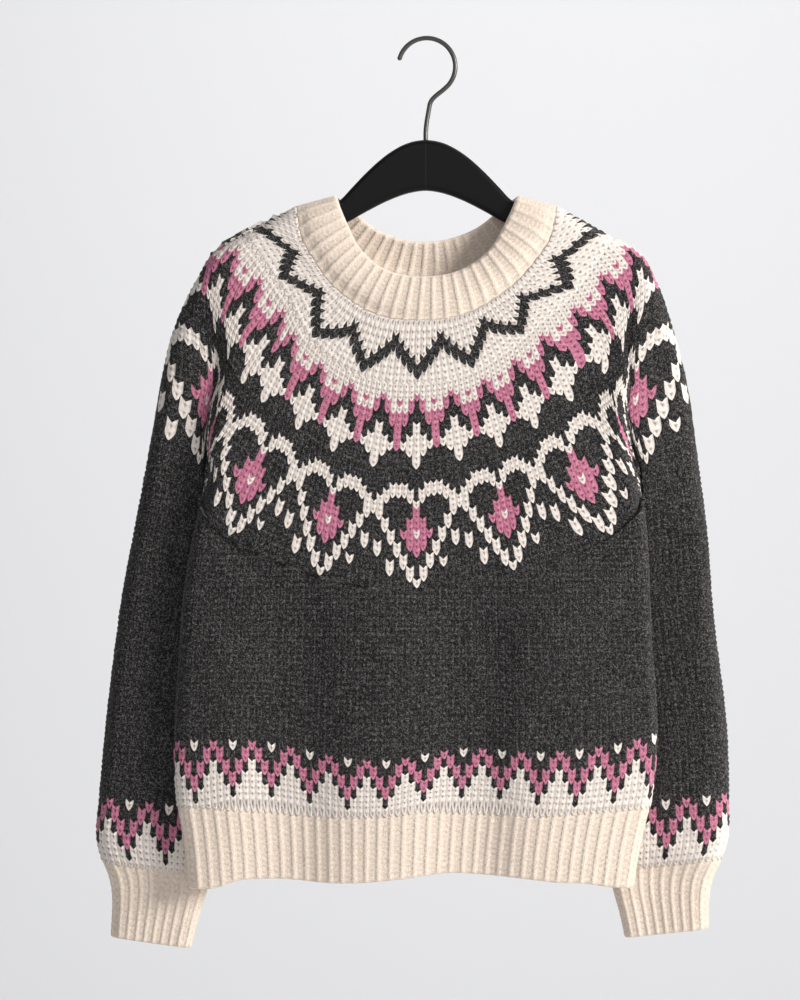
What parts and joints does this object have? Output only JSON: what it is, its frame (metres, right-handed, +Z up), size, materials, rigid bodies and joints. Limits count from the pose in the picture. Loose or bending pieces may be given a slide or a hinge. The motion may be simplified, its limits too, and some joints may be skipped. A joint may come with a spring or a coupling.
{
  "type": "nordic yoke sweater on hanger",
  "caption": "Round-yoke knitted pullover with hearts, diamonds and zigzags, ribbed neck, hem and cuffs, hanging on a black hanger.",
  "frame": {"origin": "inner side of the hook's crown, where a rail or nail carries the hanger", "axes": "+Z up, front of the sweater faces -Y, +X to the right as seen from the front"},
  "size_m": [0.5368, 0.0503, 0.7802],
  "materials": {
    "cream_wool": "matte",
    "charcoal_wool": "matte",
    "yoke_wool": "matte",
    "black_wood": "satin",
    "dark_wire": "satin"
  },
  "bodies": {
    "root": {"yoke": "yoke_wool", "body": "charcoal_wool", "sleeve_left": "charcoal_wool", "sleeve_right": "charcoal_wool", "collar": "cream_wool", "hem_rib": "cream_wool", "cuff_left": "cream_wool", "cuff_right": "cream_wool", "hanger": "black_wood", "hook": "dark_wire"}
  },
  "joints": []
}
